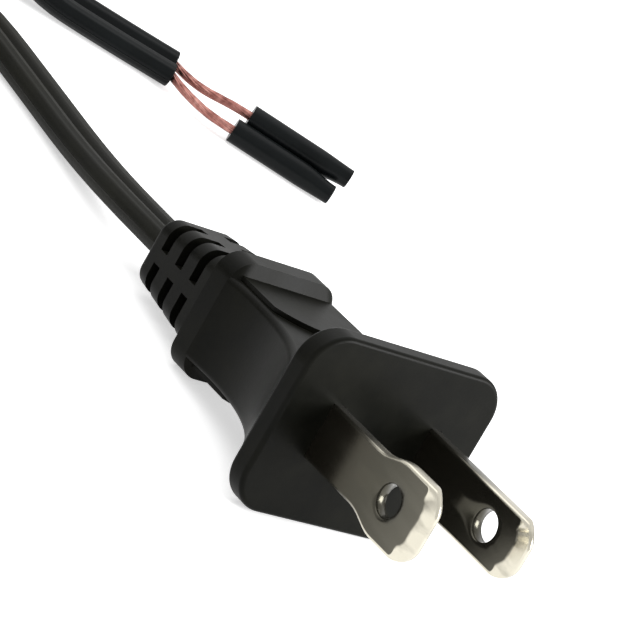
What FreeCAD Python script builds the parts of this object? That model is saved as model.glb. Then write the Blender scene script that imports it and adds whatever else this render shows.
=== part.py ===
import FreeCAD, Part
import math
import os
import Sketcher
from FreeCAD import Placement, Rotation, Vector

# Type A plug: two flat blades in a moulded cover with a slotted strain relief, on a flat twin cord
# whose far end is stripped. Millimetres, +Z up.
# Each part of the plug is drawn in the plug's own frame: x across the two blades, y back from the
# front face, z up. The whole plug then leans back until its flange and its collar touch the table.

doc = FreeCAD.newDocument("type_a_plug")

# Driving dimensions, each with what it measures.
SIZES = (
    ("blade_pitch", 12.7, "between the middles of the two blades"),
    ("blade_thickness", 1.5, "each blade"),
    ("blade_length", 17.5, "from the front face to the blade's tip"),
    ("line_width", 6.35, "the narrow blade"),
    ("neutral_width", 7.8, "the wide blade, at its flared tip"),
    ("neutral_shank", 5.85, "the wide blade, along its straight shank"),
    ("flare_start", 8.6, "front face to where the wide blade begins to flare"),
    ("flare_run", 2.8, "length of the flare"),
    ("tip_clip", 1.5, "corner cut off at each side of a tip"),
    ("tip_bevel", 0.5, "bevel coined round a tip"),
    ("hole_diameter", 3.18, "hole through a blade"),
    ("hole_forward", 11.9, "front face to the middle of the hole"),
    ("blade_root", 6.4, "how far a blade reaches back into the carrier"),
    ("anchor_diameter", 2.0, "hole in the root that the carrier grips"),
    ("anchor_back", 4.6, "front face to the anchor hole"),
    ("tab_thickness", 0.8, "sheet of the crimp tab"),
    ("tab_height", 2.6, "width of the crimp tab"),
    ("crimp_pitch", 8.0, "between the middles of the two crimps"),
    ("crimp_front", 9.2, "front face to the crimp"),
    ("crimp_length", 4.4, "crimp barrel"),
    ("crimp_wall", 0.8, "sheet rolled into the crimp"),
    ("crimp_seam", 0.25, "gap where the rolled sheet meets"),
    ("core_diameter", 1.2, "bunched copper strands of one conductor"),
    ("flange_width", 24.96, "front flange, across the blades"),
    ("flange_height", 18.88, "front flange, along a blade's width"),
    ("flange_depth", 2.45, "front flange, thickness at the rim"),
    ("flange_corner", 3.9, "corner radius of the flange"),
    ("flange_edge", 0.45, "rounding of the flange's front and back edges"),
    ("waist_width", 13.2, "body at the bottom of the finger hollows"),
    ("waist_back", 17.0, "front face to the narrowest place"),
    ("body_height", 9.4, "body between flange and collar"),
    ("body_edge", 0.7, "rounding of the body's long edges"),
    ("pad_rise", 0.5, "thumb pad above the body"),
    ("pad_radius", 7.3, "round front of the thumb pad"),
    ("pad_front", 11.6, "front face to the pad's foremost point"),
    ("pad_width", 11.8, "thumb pad, across"),
    ("collar_front", 20.4, "front face to the foot of the collar"),
    ("collar_slope", 0.7, "depth of the collar's sloping front"),
    ("collar_width", 13.6, "collar, across"),
    ("collar_height", 13.14, "collar, top to bottom"),
    ("collar_corner", 2.4, "corner radius of the collar"),
    ("collar_back", 23.76, "front face to the collar's back edge"),
    ("collar_fall", 0.9, "depth of the collar's rounded back"),
    ("relief_root_width", 11.2, "strain relief where it leaves the collar"),
    ("relief_root_height", 9.8, "strain relief where it leaves the collar"),
    ("relief_end_width", 9.4, "strain relief at its end"),
    ("relief_end_height", 7.6, "strain relief at its end"),
    ("relief_corner", 1.9, "corner radius of the strain relief"),
    ("relief_back", 36.2, "front face to the end of the strain relief"),
    ("relief_edge", 0.6, "rounding of the relief's end"),
    ("slot_first", 27.2, "front face to the middle of the first slot"),
    ("slot_pitch", 3.2, "from slot to slot"),
    ("slot_width", 1.35, "one slot"),
    ("slot_floor_width", 7.8, "block left inside the slots, across"),
    ("slot_floor_height", 4.9, "block left inside the slots, top to bottom"),
    ("side_web", 1.5, "web at each side between upper and lower slots"),
    ("top_web", 3.0, "web on the top and on the bottom"),
    ("carrier_front", 1.4, "front face to the carrier"),
    ("carrier_back", 7.0, "front face to the carrier's back"),
    ("carrier_width", 16.4, "inner carrier, across"),
    ("carrier_height", 7.8, "inner carrier, top to bottom"),
    ("fin_width", 2.2, "wall between the two crimps"),
    ("fin_height", 5.2, "wall between the two crimps"),
    ("fin_back", 14.4, "front face to the wall's back"),
    ("cord_width", 6.0, "flat twin cord, across both conductors"),
    ("cord_thickness", 3.0, "flat twin cord"),
    ("leg_diameter", 2.9, "one insulated conductor where the cord is split"),
    ("leg_front", 14.2, "front face to where the insulation begins"),
    ("split_front", 15.2, "front face to where the legs begin to close"),
    ("split_back", 21.0, "front face to where the legs are one cord"),
    ("cord_lift", 0.05, "air under the cord on the table"),
    ("coil_middle", 64.0, "put-away coil, across at the middle of its turns"),
    ("coil_band", 12.6, "coil, from its inner to its outer face"),
    ("coil_height", 12.4, "two layers of cord standing on edge"),
    ("coil_left", 56.0, "plug's middle line to the coil's middle"),
    ("coil_behind", 74.57, "front face to the coil's middle, along the table"),
    ("coil_clip", 0.9, "taken off the corners of the coil's section"),
    ("seat_along", 6.0, "coil's middle to the end face of a cord in its seat"),
    ("seat_across", 34.6, "coil's middle to the middle of a cord in its seat"),
    ("seat_gap", 0.3, "air round a cord's end in its seat in the coil"),
    ("tail_high", 10.55, "table to the middle of the tail where it leaves the coil"),
    ("tail_hump", 10.95, "table to the middle of the tail where it crosses over the lead"),
    ("tie_width", 4.0, "strap round the coil"),
    ("tie_thickness", 0.7, "strap round the coil"),
    ("tie_proud", 0.2, "outer face of the strap beyond the coil"),
    ("tie_corner", 0.9, "inner corner radius of the strap"),
    ("sleeve_length", 14.0, "insulation slid part-way off the copper"),
    ("sleeve_step", 1.0, "the far lobe starts this much further along"),
    ("sleeve_roll", 40.0, "degrees the sleeve is rolled onto its near lobe"),
    ("sleeve_groove", 0.35, "groove between the lobes"),
    ("tail_roll", 15.0, "angle the tail is rolled where it leaves the coil"),
    ("sleeve_slit", 4.6, "slit between the two lobes at the sleeve's tip"),
    ("sleeve_slit_width", 0.35, "slit between the two lobes"),
    ("copper_in_sleeve", 3.6, "bare copper still inside the sleeve"),
    ("strip_fit", 0.05, "air round the copper in the sleeve"),
)

sheet = doc.addObject("Spreadsheet::Sheet", "sizes")
for row, (alias, number, meaning) in enumerate(SIZES, start=1):
    sheet.set("A%d" % row, meaning)
    sheet.set("B%d" % row, str(number))
    sheet.setAlias("B%d" % row, alias)
doc.recompute()


def size(alias):
    """The number in the sheet's cell of that name."""
    return float(sheet.get(alias))


# How the plug lies: its flange's back edge and its collar's back edge both touch the table.
LEAN = (
    "atan((sizes.flange_height - sizes.collar_height) / 2 / (sizes.collar_back - sizes.flange_depth))"
)
lean = math.atan(
    (size("flange_height") - size("collar_height")) / 2 / (size("collar_back") - size("flange_depth"))
)
face_height = size("flange_depth") * math.sin(lean) + size("flange_height") / 2 * math.cos(lean)
# The origin lies under the middle of the plug's length.
tip_front = -size("blade_length") * math.cos(lean)
relief_rear = size("relief_back") * math.cos(lean)
origin_back = (tip_front + relief_rear) / 2


def stand(thing, across="0 mm"):
    """Leans a part drawn in the plug's frame back onto the table; across moves it sideways first."""
    thing.setExpression("Placement.Rotation.Axis.x", "1")
    thing.setExpression("Placement.Rotation.Axis.y", "0")
    thing.setExpression("Placement.Rotation.Axis.z", "0")
    thing.setExpression("Placement.Rotation.Angle", "-" + LEAN)
    thing.setExpression("Placement.Base.x", across)
    thing.setExpression(
        "Placement.Base.y", "(sizes.blade_length - sizes.relief_back) / 2 * cos(" + LEAN + ") * 1 mm"
    )
    thing.setExpression(
        "Placement.Base.z",
        "(sizes.flange_depth * sin(" + LEAN + ") + sizes.flange_height / 2 * cos(" + LEAN + ")) * 1 mm",
    )


plug_place = Placement(
    Vector(0, -origin_back, face_height), Rotation(Vector(1, 0, 0), -math.degrees(lean))
)


def on_plug(x, y, z):
    """A point of the plug's own frame, where it is once the plug lies on the table."""
    return plug_place.multVec(Vector(x, y, z))


def on_table(x, behind, z):
    """A point on the table, measured back from below the front face."""
    return Vector(x, behind - origin_back, z)


def new_body(name):
    body = doc.addObject("PartDesign::Body", name)
    body.Label = name
    return body


def plane_of(body, role):
    for feature in body.Origin.OriginFeatures:
        if feature.Role == role:
            return feature
    raise ValueError(role)


def new_sketch(body, name, role, offset=None):
    """A sketch on one of the body's own planes; offset is the expression that moves it off the plane."""
    sketch = body.newObject("Sketcher::SketchObject", name)
    sketch.AttachmentSupport = [(plane_of(body, role), "")]
    sketch.MapMode = "FlatFace"
    if offset:
        sketch.setExpression("AttachmentOffset.Base.z", offset)
    return sketch


def bind(sketch, index, expression):
    sketch.setExpression("Constraints[%d]" % index, expression)


def rounded_rectangle(sketch, width, height, radius):
    """A rectangle round the sketch's origin with equal corner arcs; each size is a number and its expression."""
    half_x, half_y, corner = width[0] / 2, height[0] / 2, radius[0]
    up = Vector(0, 0, 1)
    arcs = []
    for turn, (sx, sy) in enumerate(((1, 1), (-1, 1), (-1, -1), (1, -1))):
        middle = Vector(sx * (half_x - corner), sy * (half_y - corner), 0)
        start = turn * math.pi / 2
        arc = Part.ArcOfCircle(Part.Circle(middle, up, corner), start, start + math.pi / 2)
        arcs.append(sketch.addGeometry(arc, False))
    ends = (
        (half_x - corner, half_y, corner - half_x, half_y),
        (-half_x, half_y - corner, -half_x, corner - half_y),
        (corner - half_x, -half_y, half_x - corner, -half_y),
        (half_x, corner - half_y, half_x, half_y - corner),
    )
    lines = []
    for ax, ay, bx, by in ends:
        lines.append(sketch.addGeometry(Part.LineSegment(Vector(ax, ay, 0), Vector(bx, by, 0)), False))
    for turn in range(4):
        sketch.addConstraint(Sketcher.Constraint("Tangent", arcs[turn], 2, lines[turn], 1))
        sketch.addConstraint(Sketcher.Constraint("Tangent", lines[turn], 2, arcs[(turn + 1) % 4], 1))
        side = "Horizontal" if turn % 2 == 0 else "Vertical"
        sketch.addConstraint(Sketcher.Constraint(side, lines[turn]))
    for turn in range(3):
        sketch.addConstraint(Sketcher.Constraint("Equal", arcs[turn], arcs[turn + 1]))
    sketch.addConstraint(Sketcher.Constraint("Symmetric", arcs[0], 3, arcs[2], 3, -1, 1))
    bind(sketch, sketch.addConstraint(
        Sketcher.Constraint("DistanceX", lines[1], 1, lines[3], 1, width[0])), width[1])
    bind(sketch, sketch.addConstraint(
        Sketcher.Constraint("DistanceY", lines[2], 1, lines[0], 1, height[0])), height[1])
    bind(sketch, sketch.addConstraint(Sketcher.Constraint("Radius", arcs[0], radius[0])), radius[1])


def cell(alias):
    """A size as a number and as the expression that reads it."""
    return (size(alias), "sizes." + alias)


def outline(sketch, corners):
    """A closed outline of straight sides; each corner is two pairs of a number and its expression."""
    count = len(corners)
    lines = []
    for turn in range(count):
        (ax, _), (ay, _) = corners[turn]
        (bx, _), (by, _) = corners[(turn + 1) % count]
        lines.append(sketch.addGeometry(Part.LineSegment(Vector(ax, ay, 0), Vector(bx, by, 0)), False))
    for turn in range(count):
        sketch.addConstraint(
            Sketcher.Constraint("Coincident", lines[turn], 2, lines[(turn + 1) % count], 1))
    for turn, ((x, x_rule), (y, y_rule)) in enumerate(corners):
        for kind, value, rule in (("DistanceX", x, x_rule), ("DistanceY", y, y_rule)):
            lock = Sketcher.Constraint(kind, -1, 1, lines[turn], 1, value)
            bind(sketch, sketch.addConstraint(lock), rule)
    return lines


def circle(sketch, x, y, diameter):
    """A circle; each size is a number and its expression."""
    drawn = Part.Circle(Vector(x[0], y[0], 0), Vector(0, 0, 1), diameter[0] / 2)
    number = sketch.addGeometry(drawn, False)
    for kind, (value, rule) in (("DistanceX", x), ("DistanceY", y)):
        bind(sketch, sketch.addConstraint(Sketcher.Constraint(kind, -1, 1, number, 3, value)), rule)
    bind(sketch, sketch.addConstraint(
        Sketcher.Constraint("Diameter", number, diameter[0])), diameter[1])


def pad(body, name, sketch, length, midplane=False, backwards=False):
    feature = body.newObject("PartDesign::Pad", name)
    feature.Profile = sketch
    feature.setExpression("Length", length)
    feature.SideType = "Symmetric" if midplane else "One side"
    feature.Reversed = backwards
    body.Tip = feature
    return feature


def pocket(body, name, sketch, length, midplane=False, backwards=False):
    """Cuts a sketch out of the body, checking that it takes something away."""
    doc.recompute()
    before = body.Shape.Volume
    feature = body.newObject("PartDesign::Pocket", name)
    feature.Profile = sketch
    feature.setExpression("Length", length)
    feature.SideType = "Symmetric" if midplane else "One side"
    feature.Reversed = backwards
    body.Tip = feature
    doc.recompute()
    assert body.Shape.Volume < before - 0.01, name + " cut nothing"
    return feature


def loft(body, name, sketches):
    feature = body.newObject("PartDesign::AdditiveLoft", name)
    feature.Profile = sketches[0]
    feature.Sections = sketches[1:]
    feature.Ruled = True
    body.Tip = feature
    return feature


def edges_where(shape, test):
    return ["Edge%d" % (n + 1) for n, edge in enumerate(shape.Edges) if test(edge)]


def fillet(body, name, test, radius):
    """Rounds the edges of the body's tip that pass the test."""
    doc.recompute()
    base = body.Tip
    names = edges_where(base.Shape, test)
    assert names, name + " found no edges"
    feature = body.newObject("PartDesign::Fillet", name)
    feature.Base = (base, names)
    feature.setExpression("Radius", radius)
    body.Tip = feature
    doc.recompute()
    return feature


def flat_at(edge, y):
    """True for an edge that lies wholly at that distance behind the front face."""
    box = edge.BoundBox
    return abs(box.YMin - y) < 1e-4 and abs(box.YMax - y) < 1e-4


# Blades

def make_blade(name, side, tip_width, shank_width):
    """A stamped blade with its crimp: side is -1 or 1, the widths are cells of the sheet."""
    body = new_body(name)
    tip, shank = size(tip_width) / 2, size(shank_width) / 2
    tip_rule, shank_rule = "sizes." + tip_width + " / 2", "sizes." + shank_width + " / 2"
    length, clip = size("blade_length"), size("tip_clip")
    start, run, root = size("flare_start"), size("flare_run"), size("blade_root")
    half = [
        ((-length, "-sizes.blade_length"), (tip - clip, tip_rule + " - sizes.tip_clip")),
        ((clip - length, "sizes.tip_clip - sizes.blade_length"), (tip, tip_rule)),
    ]
    if tip_width != shank_width:
        half.append(((-start - run, "-sizes.flare_start - sizes.flare_run"), (tip, tip_rule)))
        half.append(((-start, "-sizes.flare_start"), (shank, shank_rule)))
    half.append(((root, "sizes.blade_root"), (shank, shank_rule)))
    mirrored = [(along, (-up, "-(" + rule + ")")) for along, (up, rule) in reversed(half)]
    plate = new_sketch(body, name + "_outline", "YZ_Plane")
    outline(plate, half + mirrored)
    pad(body, name + "_plate", plate, "sizes.blade_thickness", midplane=True)
    doc.recompute()

    def at_tip(edge):
        box = edge.BoundBox
        across = box.XMax - box.XMin < 1e-6
        return across and box.YMax < -length + clip + 1e-4 and box.ZMax - box.ZMin > 0.5
    plain = body.Tip
    names = edges_where(plain.Shape, at_tip)
    bevel = body.newObject("PartDesign::Chamfer", name + "_bevel")
    bevel.Base = (plain, names)
    bevel.setExpression("Size", "sizes.tip_bevel")
    body.Tip = bevel
    hole = new_sketch(body, name + "_hole_sketch", "YZ_Plane")
    circle(hole, (-size("hole_forward"), "-sizes.hole_forward"), (0, "0"), cell("hole_diameter"))
    circle(hole, cell("anchor_back"), (0, "0"), cell("anchor_diameter"))
    pocket(body, name + "_holes", hole, "2 * sizes.blade_thickness", midplane=True)

    # The tab steps inwards from the blade to the crimp and is the crimp's outer side.
    step = (size("blade_pitch") - size("crimp_pitch")) / 2
    step_rule = "(sizes.blade_pitch - sizes.crimp_pitch) / 2"
    barrel = size("core_diameter") / 2 + size("crimp_wall")
    barrel_rule = "(sizes.core_diameter / 2 + sizes.crimp_wall)"
    sheet_half, front = size("tab_thickness") / 2, size("crimp_front")
    end = front + size("crimp_length")
    end_rule = "sizes.crimp_front + sizes.crimp_length"
    sign = "-1 * " if side > 0 else ""
    inward = -side

    def across(value, rule):
        return (inward * value, sign + "(" + rule + ")")
    tab_out = step - barrel
    tab_out_rule = step_rule + " - " + barrel_rule
    tab_in = tab_out + size("tab_thickness")
    tab_in_rule = tab_out_rule + " + sizes.tab_thickness"
    bend = 0.5
    tab = [
        (across(-sheet_half, "-sizes.tab_thickness / 2"), (root - 1, "sizes.blade_root - 1")),
        (across(sheet_half, "sizes.tab_thickness / 2"), (root - 1, "sizes.blade_root - 1")),
        (across(sheet_half, "sizes.tab_thickness / 2"), (root + bend, "sizes.blade_root + 0.5")),
        (across(tab_in, tab_in_rule), (front, "sizes.crimp_front")),
        (across(tab_in, tab_in_rule), (end, end_rule)),
        (across(tab_out, tab_out_rule), (end, end_rule)),
        (across(tab_out, tab_out_rule), (front, "sizes.crimp_front")),
        (across(-sheet_half, "-sizes.tab_thickness / 2"), (root + bend, "sizes.blade_root + 0.5")),
    ]
    tab_sketch = new_sketch(body, name + "_tab_sketch", "XY_Plane")
    outline(tab_sketch, tab)
    pad(body, name + "_tab", tab_sketch, "sizes.tab_height", midplane=True)
    barrel_sketch = new_sketch(body, name + "_crimp_sketch", "XZ_Plane", "-sizes.crimp_front")
    circle(barrel_sketch, across(step, step_rule), (0, "0"), (2 * barrel, "2 * " + barrel_rule))
    pad(body, name + "_crimp", barrel_sketch, "sizes.crimp_length", backwards=True)
    bore_sketch = new_sketch(body, name + "_bore_sketch", "XZ_Plane", "-sizes.crimp_front")
    circle(bore_sketch, across(step, step_rule), (0, "0"), cell("core_diameter"))
    pocket(body, name + "_bore", bore_sketch, "sizes.crimp_length + 1")
    seam_sketch = new_sketch(body, name + "_seam_sketch", "XY_Plane")
    outline(seam_sketch, [
        (across(step, step_rule), (front - 1, "sizes.crimp_front - 1")),
        (across(step + 2 * barrel, step_rule + " + 2 * " + barrel_rule), (front - 1, "sizes.crimp_front - 1")),
        (across(step + 2 * barrel, step_rule + " + 2 * " + barrel_rule), (end + 1, end_rule + " + 1")),
        (across(step, step_rule), (end + 1, end_rule + " + 1")),
    ])
    pocket(body, name + "_seam", seam_sketch, "sizes.crimp_seam", midplane=True)
    stand(body, ("" if side > 0 else "-") + "sizes.blade_pitch / 2 * 1 mm")
    return body


neutral_blade = make_blade("neutral_blade", -1, "neutral_width", "neutral_shank")
line_blade = make_blade("line_blade", 1, "line_width", "line_width")
doc.recompute()


# Cord paths

def tangent_path(points, ratio=0.45, name=None):
    """Straight runs through the points, each corner turned by an arc of ratio times the shorter run."""
    edges, radii = [], []
    start = points[0]
    for before, corner, after in zip(points, points[1:], points[2:]):
        come, go = (corner - before), (after - corner)
        reach = ratio * min(come.Length, go.Length)
        turn = come.getAngle(go)
        radii.append(reach / math.tan(turn / 2))
        first = corner - Vector(come).normalize() * reach
        last = corner + Vector(go).normalize() * reach
        chord = (Vector(go).normalize() - Vector(come).normalize()).normalize()
        gap = radii[-1] * (1 / math.cos(turn / 2) - 1)
        middle = corner + chord * gap
        edges.append(Part.LineSegment(start, first).toShape())
        edges.append(Part.Arc(first, middle, last).toShape())
        start = last
    edges.append(Part.LineSegment(start, points[-1]).toShape())
    if name:
        print(name, "arc radii", [round(radius, 1) for radius in radii])
    return Part.Wire(edges)


def frame_at(wire, up):
    """Start point of a wire, with the unit vectors along, across and over its first edge."""
    edge = wire.Edges[0]
    point = edge.valueAt(edge.FirstParameter)
    along = edge.tangentAt(edge.FirstParameter)
    across = up.cross(along).normalize()
    over = along.cross(across).normalize()
    return point, along, across, over


def stadium(point, across, over, width, thickness):
    """The flat cord's section: two half circles joined by straight sides."""
    half, radius = (width - thickness) / 2, thickness / 2
    right, left = point + across * half, point - across * half
    top, bottom = over * radius, over * -radius
    edges = [
        Part.LineSegment(left + bottom, right + bottom).toShape(),
        Part.Arc(right + bottom, right + across * radius, right + top).toShape(),
        Part.LineSegment(right + top, left + top).toShape(),
        Part.Arc(left + top, left - across * radius, left + bottom).toShape(),
    ]
    return Part.Face(Part.Wire(edges))


def sweep(path, section, across=None):
    """Carries a face along a path: straight runs are extruded and arcs are turned about their own axis.

    Returns the solid and the across vector where the path ends.
    """
    solids = []
    face = section
    across = Vector(across) if across else Vector(1, 0, 0)
    for edge in path.Edges:
        first, last = edge.valueAt(edge.FirstParameter), edge.valueAt(edge.LastParameter)
        if edge.Curve.TypeId == "Part::GeomLine":
            solids.append(face.extrude(last - first))
            face = face.translated(last - first)
            continue
        centre = edge.Curve.Center
        axis = edge.tangentAt(edge.FirstParameter).cross(centre - first).normalize()
        angle = math.degrees(edge.Length / edge.Curve.Radius)
        solids.append(face.revolve(centre, axis, angle))
        face = face.rotated(centre, axis, angle)
        across = Rotation(axis, angle).multVec(across)
    solid = solids[0].multiFuse(solids[1:]).removeSplitter()
    return solid.Solids[0], across


def round_rod(path, diameter):
    edge = path.Edges[0]
    point = edge.valueAt(edge.FirstParameter)
    along = edge.tangentAt(edge.FirstParameter)
    section = Part.Face(Part.Wire([Part.Circle(point, along, diameter / 2).toShape()]))
    return sweep(path, section)[0]


def new_feature(name, shape, place=None):
    feature = doc.addObject("Part::Feature", name)
    feature.Label = name
    feature.Shape = shape
    if place:
        feature.Placement = place
    return feature


# Conductors and the cord's end inside the plug

def conductor_path(side, front):
    """From the crimp back: straight, inwards by two equal arcs, then straight along the cord."""
    outer, inner = side * size("crimp_pitch") / 2, side * (size("cord_width") - size("cord_thickness")) / 2
    begin, close, rear = size("split_front"), size("split_back"), size("relief_back")
    shift, run = abs(outer - inner), close - begin
    angle = 2 * math.atan(shift / run)
    radius = run / 2 / math.sin(angle)
    halfway = Vector((outer + inner) / 2, (begin + close) / 2, 0)
    first_mid = Vector(outer - side * radius * (1 - math.cos(angle / 2)), begin + radius * math.sin(angle / 2), 0)
    last_mid = Vector(inner + side * radius * (1 - math.cos(angle / 2)), close - radius * math.sin(angle / 2), 0)
    return [
        Part.LineSegment(Vector(outer, front, 0), Vector(outer, begin, 0)).toShape(),
        Part.Arc(Vector(outer, begin, 0), first_mid, halfway).toShape(),
        Part.Arc(halfway, last_mid, Vector(inner, close, 0)).toShape(),
        Part.LineSegment(Vector(inner, close, 0), Vector(inner, rear, 0)).toShape(),
    ]


cores = {}
for name, side in (("neutral_core", -1), ("line_core", 1)):
    path = Part.Wire(conductor_path(side, size("crimp_front")))
    cores[name] = new_feature(name, round_rod(path, size("core_diameter")), plug_place)

legs = []
for side in (-1, 1):
    legs.append(round_rod(Part.Wire(conductor_path(side, size("leg_front"))[:3]), size("leg_diameter")))
flat_front = Vector(0, size("split_back"), 0)
flat_section = stadium(flat_front, Vector(1, 0, 0), Vector(0, 0, 1), size("cord_width"), size("cord_thickness"))
flat_root = flat_section.extrude(Vector(0, size("relief_back") - size("split_back"), 0))
root_blank = flat_root.multiFuse(legs).removeSplitter()
root_shape = root_blank
for side in (-1, 1):
    bore = round_rod(Part.Wire(conductor_path(side, size("leg_front"))), size("core_diameter"))
    root_shape = root_shape.cut(bore)
cord_root = new_feature("cord_root", root_shape, plug_place)
root_space = new_feature("root_space", root_blank, plug_place)


# Inner carrier

def rounded_box(body, name, width, height, corner, offset, length):
    sketch = new_sketch(body, name + "_sketch", "XZ_Plane", offset)
    rounded_rectangle(sketch, width, height, corner)
    return pad(body, name, sketch, length, backwards=True)


carrier_body = new_body("carrier_blank")
rounded_box(carrier_body, "carrier_block", cell("carrier_width"), cell("carrier_height"), (1.0, "1"),
            "-sizes.carrier_front", "sizes.carrier_back - sizes.carrier_front")
rounded_box(carrier_body, "carrier_fin", cell("fin_width"), cell("fin_height"), (0.4, "0.4"),
            "-sizes.carrier_front", "sizes.fin_back - sizes.carrier_front")
stand(carrier_body)
doc.recompute()

blade_carrier = doc.addObject("Part::Cut", "blade_carrier")
blade_carrier.Label = "blade_carrier"
blade_carrier.Base = carrier_body
blades = doc.addObject("Part::MultiFuse", "blade_pair")
blades.Shapes = [neutral_blade, line_blade]
blade_carrier.Tool = blades
doc.recompute()


# Moulded cover

cover_body = new_body("cover_blank")
rounded_box(cover_body, "flange", cell("flange_width"), cell("flange_height"), cell("flange_corner"),
            "0 mm", "sizes.flange_depth")
fillet(cover_body, "flange_rounding", lambda edge: flat_at(edge, 0) or flat_at(edge, size("flange_depth")),
       "sizes.flange_edge")

# The body between flange and collar, seen from above: a finger hollow in each side is one arc that
# starts at the flange's back corner and is narrowest at the waist.
half_flange, half_waist = size("flange_width") / 2 - size("flange_edge") / 2, size("waist_width") / 2
front_run = size("waist_back") - size("flange_depth")
flare = half_flange - half_waist
hollow = (flare ** 2 + front_run ** 2) / (2 * flare)
FLARE = "(sizes.flange_width / 2 - sizes.flange_edge / 2 - sizes.waist_width / 2)"
RUN = "(sizes.waist_back - sizes.flange_depth)"
HOLLOW = "((" + FLARE + "^2 + " + RUN + "^2) / (2 * " + FLARE + "))"
waist = new_sketch(cover_body, "body_outline", "XY_Plane")
collar_run = size("collar_front") + size("collar_slope") - size("waist_back")
ridge_x = half_waist + hollow - math.sqrt(hollow ** 2 - collar_run ** 2)
ridge_y = size("waist_back") + collar_run
start_y = size("flange_depth") / 2
sides = []
for sign in (1, -1):
    middle = Vector(sign * (half_waist + hollow), size("waist_back"), 0)
    front_angle = math.atan2(-front_run, -sign * (hollow - flare))
    back_angle = math.atan2(collar_run, -sign * (middle.x * sign - ridge_x))
    low, high = sorted((front_angle % (2 * math.pi), back_angle % (2 * math.pi)))
    if high - low > math.pi:
        low, high = high, low + 2 * math.pi
    sides.append(waist.addGeometry(Part.ArcOfCircle(Part.Circle(middle, Vector(0, 0, 1), hollow), low, high), False))
front_line = waist.addGeometry(Part.LineSegment(Vector(half_flange, start_y, 0), Vector(-half_flange, start_y, 0)), False)
right_line = waist.addGeometry(
    Part.LineSegment(Vector(half_flange, start_y, 0), Vector(half_flange, size("flange_depth"), 0)), False)
left_line = waist.addGeometry(
    Part.LineSegment(Vector(-half_flange, start_y, 0), Vector(-half_flange, size("flange_depth"), 0)), False)
back_line = waist.addGeometry(Part.LineSegment(Vector(ridge_x, ridge_y, 0), Vector(-ridge_x, ridge_y, 0)), False)


def arc_end(number, y):
    """Which end of an arc lies nearer to that y: 1 for its start, 2 for its end."""
    arc = waist.Geometry[number]
    return 1 if abs(arc.StartPoint.y - y) < abs(arc.EndPoint.y - y) else 2


for number, line, back_point in ((sides[0], right_line, 1), (sides[1], left_line, 2)):
    waist.addConstraint(Sketcher.Constraint("Coincident", number, arc_end(number, size("flange_depth")), line, 2))
    waist.addConstraint(Sketcher.Constraint("Coincident", number, arc_end(number, ridge_y), back_line, back_point))
waist.addConstraint(Sketcher.Constraint("Coincident", front_line, 1, right_line, 1))
waist.addConstraint(Sketcher.Constraint("Coincident", front_line, 2, left_line, 1))
waist.addConstraint(Sketcher.Constraint("Vertical", right_line))
waist.addConstraint(Sketcher.Constraint("Vertical", left_line))
waist.addConstraint(Sketcher.Constraint("Symmetric", front_line, 1, front_line, 2, -2))
waist.addConstraint(Sketcher.Constraint("Horizontal", back_line))
waist.addConstraint(Sketcher.Constraint("Equal", sides[0], sides[1]))
for kind, geometry, place, value, rule in (
    ("DistanceX", front_line, 1, half_flange, "sizes.flange_width / 2 - sizes.flange_edge / 2"),
    ("DistanceY", front_line, 1, start_y, "sizes.flange_depth / 2"),
    ("DistanceY", right_line, 2, size("flange_depth"), "sizes.flange_depth"),
    ("DistanceY", left_line, 2, size("flange_depth"), "sizes.flange_depth"),
    ("DistanceY", back_line, 1, ridge_y, "sizes.collar_front + sizes.collar_slope"),
    ("DistanceY", sides[0], 3, size("waist_back"), "sizes.waist_back"),
    ("DistanceY", sides[1], 3, size("waist_back"), "sizes.waist_back"),
):
    bind(waist, waist.addConstraint(Sketcher.Constraint(kind, -1, 1, geometry, place, value)), rule)
bind(waist, waist.addConstraint(Sketcher.Constraint("Radius", sides[0], hollow)), HOLLOW)
pad(cover_body, "body_between", waist, "sizes.body_height", midplane=True)


def long_edge(edge):
    """The body's four curved long edges, between the flange and the collar."""
    box = edge.BoundBox
    half = size("body_height") / 2
    flat = abs(abs(box.ZMin) - half) < 1e-4 and abs(box.ZMax - box.ZMin) < 1e-4
    return flat and box.YMax > size("waist_back") and box.YMin < size("waist_back") - 1


fillet(cover_body, "body_rounding", long_edge, "sizes.body_edge")

# A thumb pad rises from the collar's foot on the top and on the bottom, round at its front.
pad_sketch = new_sketch(cover_body, "thumb_pad_sketch", "XY_Plane")
pad_middle = size("pad_front") + size("pad_radius")
pad_half = size("pad_width") / 2
pad_meet = pad_middle - math.sqrt(size("pad_radius") ** 2 - pad_half ** 2)
pad_rear = size("collar_front") + size("collar_slope")
bow = math.asin(pad_half / size("pad_radius"))
bow_arc = pad_sketch.addGeometry(Part.ArcOfCircle(
    Part.Circle(Vector(0, pad_middle, 0), Vector(0, 0, 1), size("pad_radius")),
    1.5 * math.pi - bow, 1.5 * math.pi + bow), False)
pad_right = pad_sketch.addGeometry(Part.LineSegment(Vector(pad_half, pad_meet, 0), Vector(pad_half, pad_rear, 0)), False)
pad_back = pad_sketch.addGeometry(Part.LineSegment(Vector(pad_half, pad_rear, 0), Vector(-pad_half, pad_rear, 0)), False)
pad_left = pad_sketch.addGeometry(Part.LineSegment(Vector(-pad_half, pad_rear, 0), Vector(-pad_half, pad_meet, 0)), False)
for one, one_end, two, two_end in (
    (bow_arc, 2, pad_right, 1), (pad_right, 2, pad_back, 1), (pad_back, 2, pad_left, 1), (pad_left, 2, bow_arc, 1),
):
    pad_sketch.addConstraint(Sketcher.Constraint("Coincident", one, one_end, two, two_end))
pad_sketch.addConstraint(Sketcher.Constraint("Vertical", pad_right))
pad_sketch.addConstraint(Sketcher.Constraint("Symmetric", pad_back, 1, pad_back, 2, -2))
pad_sketch.addConstraint(Sketcher.Constraint("PointOnObject", bow_arc, 3, -2))
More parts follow.
